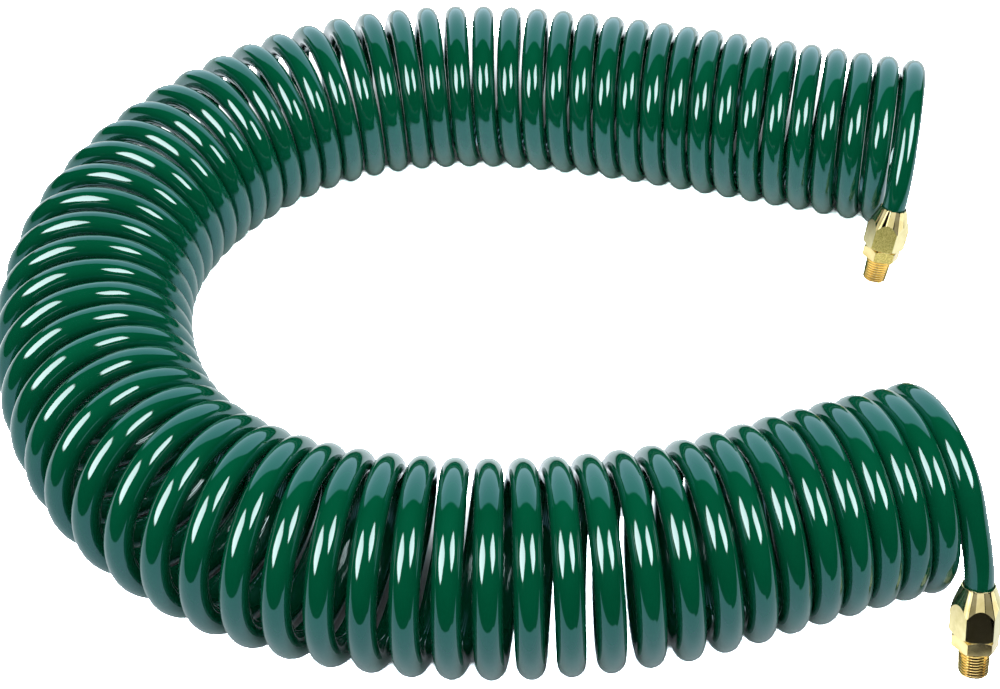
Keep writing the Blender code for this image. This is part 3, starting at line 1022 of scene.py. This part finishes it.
def painted_light_and_shade(x, y):
    """The gain that paints light and shade on the table for the camera: low between turns, high on the
    open table.
    """
    offsets = np.array((x, y)) - plan
    distances = np.hypot(offsets[:, 0], offsets[:, 1])
    nearest = int(distances.argmin())
    offset, distance = offsets[nearest], max(distances[nearest], GAP)
    in_open_stretch = OPEN_STRETCH[0] < plan[nearest, 0] < OPEN_STRETCH[1] and plan[nearest, 1] < 0
    if in_open_stretch or abs(offset @ slope[nearest]) > HOSE_DIAMETER / 2:
        return PAINTED_GAINS[-1]
    view = (np.array((x, y)) - np.array(camera.location.xy)) / camera.location.z
    leaning = float(view @ offset) / distance
    outline = COIL_DIAMETER / 2 * (leaning + sqrt(1 + leaning**2))
    dark = DARK_SHARE * outline
    open_from = outline - np.interp(leaning, LEANINGS, INSIDE_OUTLINE)
    return float(np.interp((distance - dark) / (open_from - dark), FADE_STOPS, PAINTED_GAINS))


table_mesh = bpy.data.meshes.new("table")
fine = np.linspace(-TABLE_FINE, TABLE_FINE, TABLE_STEPS)
lines = np.concatenate(([-TABLE_SIZE / 2], fine, [TABLE_SIZE / 2]))
grid = [(x, y) for y in lines for x in lines]
across = len(lines)
squares = [
    (r * across + c, r * across + c + 1, (r + 1) * across + c + 1, (r + 1) * across + c)
    for r in range(across - 1)
    for c in range(across - 1)
]
table_mesh.from_pydata([(x, y, 0.0) for x, y in grid], [], squares)
painted_gain_values = table_mesh.attributes.new("painted_light_and_shade", "FLOAT", "POINT")
painted_gain_values.data.foreach_set("value", [painted_light_and_shade(x, y) for x, y in grid])
table = bpy.data.objects.new("table", table_mesh)
scene.collection.objects.link(table)
table.data.materials.append(make_table_finish())

# %% [markdown]
# ## Light
#
# A glossy green is drawn by what it mirrors: the white table below, a white panel behind and above
# whose top edge is arched, darkness in front, and two square soft lights on either side of the
# camera, which make the pair of streaks on every turn. The panels are seen only in reflections. The
# soft lights are reddish, because the hose's own tint takes red away and the streaks are white. The
# even light that falls on the object comes from the sky and one broad lamp overhead.

# %% Hang the panels that the gloss mirrors
def make_glow(name, colour, top, bottom, soft_from, power, arched):
    """Light that fades out towards the edges of a panel, from soft_from of the way out.

    A low power rounds the corners, and an arched panel doesn't fade towards its foot.
    """
    material = bpy.data.materials.new(name)
    material.use_nodes = True
    tree = material.node_tree
    tree.nodes.clear()
    place = add_node(tree, "ShaderNodeTexCoord").outputs["Object"]
    parts = add_node(tree, "ShaderNodeSeparateXYZ")
    tree.links.new(place, parts.inputs[0])
    side = arithmetic(tree, "ABSOLUTE", parts.outputs["X"], 0.0)
    if arched:
        height = arithmetic(tree, "MAXIMUM", parts.outputs["Y"], 0.0)
    else:
        height = arithmetic(tree, "ABSOLUTE", parts.outputs["Y"], 0.0)
    reach = arithmetic(
        tree,
        "ADD",
        arithmetic(tree, "POWER", arithmetic(tree, "MULTIPLY", side, 2.0), power),
        arithmetic(tree, "POWER", arithmetic(tree, "MULTIPLY", height, 2.0), power),
    )
    fading = ramp(tree, reach, soft_from, 1.0, 1.0, 0.0)
    level = ramp(tree, parts.outputs["Y"], -0.5, 0.5, bottom, top)
    glow = add_node(tree, "ShaderNodeEmission")
    feed(tree, glow, Color=colour, Strength=arithmetic(tree, "MULTIPLY", fading, level))
    output = add_node(tree, "ShaderNodeOutputMaterial")
    tree.links.new(glow.outputs[0], output.inputs["Surface"])
    return material


def hang_panel(name, place, aim, width, height, glow):
    """A glowing panel that faces a point and is seen only in reflections."""
    bpy.ops.mesh.primitive_plane_add(size=1.0, location=place)
    panel = bpy.context.object
    panel.name = name
    panel.scale = (width, height, 1.0)
    panel.rotation_euler = (Vector(place) - Vector(aim)).to_track_quat("Z", "Y").to_euler()
    panel.data.materials.append(glow)
    panel.visible_camera = False
    panel.visible_diffuse = False
    panel.visible_shadow = False
    panel.visible_transmission = False
    return panel


COIL_MIDDLE = (0.0, 0.0, 0.045)
LEFT_LIGHT = (-0.520, -0.389, 0.605)
RIGHT_LIGHT = (0.583, -0.416, 0.835)
SOFT_LIGHT = (1.0, 0.60, 0.50, 1.0)
BACK_LIGHT = (0.80, 0.96, 1.10, 1.0)
BACK_TOP = Vector((0.05, 0.38, 0.90))
BACK_FOOT = Vector((0.05, 1.30, -0.05))
soft_glow = make_glow(
    "soft_light_glow", SOFT_LIGHT, top=20.0, bottom=26.0, soft_from=0.55, power=4.0, arched=False
)
back_glow = make_glow(
    "back_glow", BACK_LIGHT, top=1.3, bottom=2.2, soft_from=0.86, power=2.2, arched=True
)
hose_alone = bpy.data.collections.new("hose_alone")
hose_alone.objects.link(hose)
left_soft_light = hang_panel(
    "left_soft_light", LEFT_LIGHT, COIL_MIDDLE, width=0.54, height=0.58, glow=soft_glow
)
right_soft_light = hang_panel(
    "right_soft_light", RIGHT_LIGHT, (0.2, 0.0, 0.0), width=0.58, height=0.60, glow=soft_glow
)
for panel in (left_soft_light, right_soft_light):
    panel.light_linking.receiver_collection = hose_alone
back_middle = (BACK_TOP + BACK_FOOT) / 2
back_rise = BACK_TOP - BACK_FOOT
back_aim = back_middle - back_rise.cross(Vector((1, 0, 0)))
hang_panel("back_panel", back_middle, back_aim, width=2.7, height=back_rise.length, glow=back_glow)


# %% Light the object evenly
def hang_lamp(name, place, aim, width, height, watts):
    data = bpy.data.lights.new(name, "AREA")
    data.shape = "RECTANGLE"
    data.size = width
    data.size_y = height
    data.energy = watts
    lamp = bpy.data.objects.new(name, data)
    lamp.location = place
    lamp.rotation_euler = (Vector(place) - Vector(aim)).to_track_quat("Z", "Y").to_euler()
    lamp.visible_camera = False
    lamp.visible_glossy = False
    scene.collection.objects.link(lamp)
    return lamp


hang_lamp("overhead_lamp", (0.0, -0.2, 1.4), COIL_MIDDLE, width=1.6, height=1.2, watts=33.0)

# %% [markdown]
# ## Cards for the brass
#
# A photographer sets small white cards round bright metal, so that it mirrors more than darkness.
# Blender can limit a lamp to some objects by light linking, so these cards are seen by the brass and
# leave the hose as it is. Each is a lamp with the radiance of a lit card. Two of them stand in for
# the soft lights, which are too reddish for brass and are linked to the hose alone. A tiny one lies
# on the table to the left of the near fitting.

# %% Set the cards
BRASS_CARDS = {
    "white_left": ((-0.48, -0.50, 0.60), 0.62, 0.40, 2.6),
    "white_right": (RIGHT_LIGHT, 0.40, 0.40, 3.0),
    "white_middle_left": ((-0.536, -0.523, 0.283), 0.36, 0.30, 1.9),
    "card_between": ((-0.46, -0.865, 0.66), 0.50, 0.60, 0.5),
    "card_left": ((-0.455, 0.01, 0.275), 0.26, 0.30, 1.1),
    "card_low_left": ((-0.585, -0.31, 0.09), 0.40, 0.36, 1.9),
    "card_front": ((0.13, -0.79, 0.56), 0.62, 0.50, 1.3),
    "card_front_right": ((0.62, -0.65, 0.36), 0.42, 0.24, 0.45),
    "card_low_right": ((0.89, -0.29, 0.10), 0.42, 0.30, 1.7),
}
BRASS_MIDDLE = (0.205, -0.12, 0.035)
TABLE_CARD = Vector((0.163, -0.187, 0.003))
WHITE = (1.0, 1.0, 1.0, 1.0)
SKY_STRENGTH = 0.5

brass_pieces = bpy.data.collections.new("brass_pieces")
for piece in (*nuts.values(), *adapters.values()):
    brass_pieces.objects.link(piece)
cards = [
    hang_lamp(name, place, BRASS_MIDDLE, width, height, radiance * pi * width * height)
    for name, (place, width, height, radiance) in BRASS_CARDS.items()
]
above = TABLE_CARD + Vector((0, 0, 1))
table_card = hang_lamp(
    "card_on_the_table", TABLE_CARD, above, width=0.06, height=0.06, watts=0.0095
)
for card in (*cards, table_card):
    card.visible_glossy = True
    card.light_linking.receiver_collection = brass_pieces

world = bpy.data.worlds.new("soft_sky")
scene.world = world
world.use_nodes = True
sky = world.node_tree.nodes["Background"]
feed(world.node_tree, sky, Color=WHITE, Strength=SKY_STRENGTH)
world.cycles_visibility.glossy = False
scene.view_settings.view_transform = "Standard"
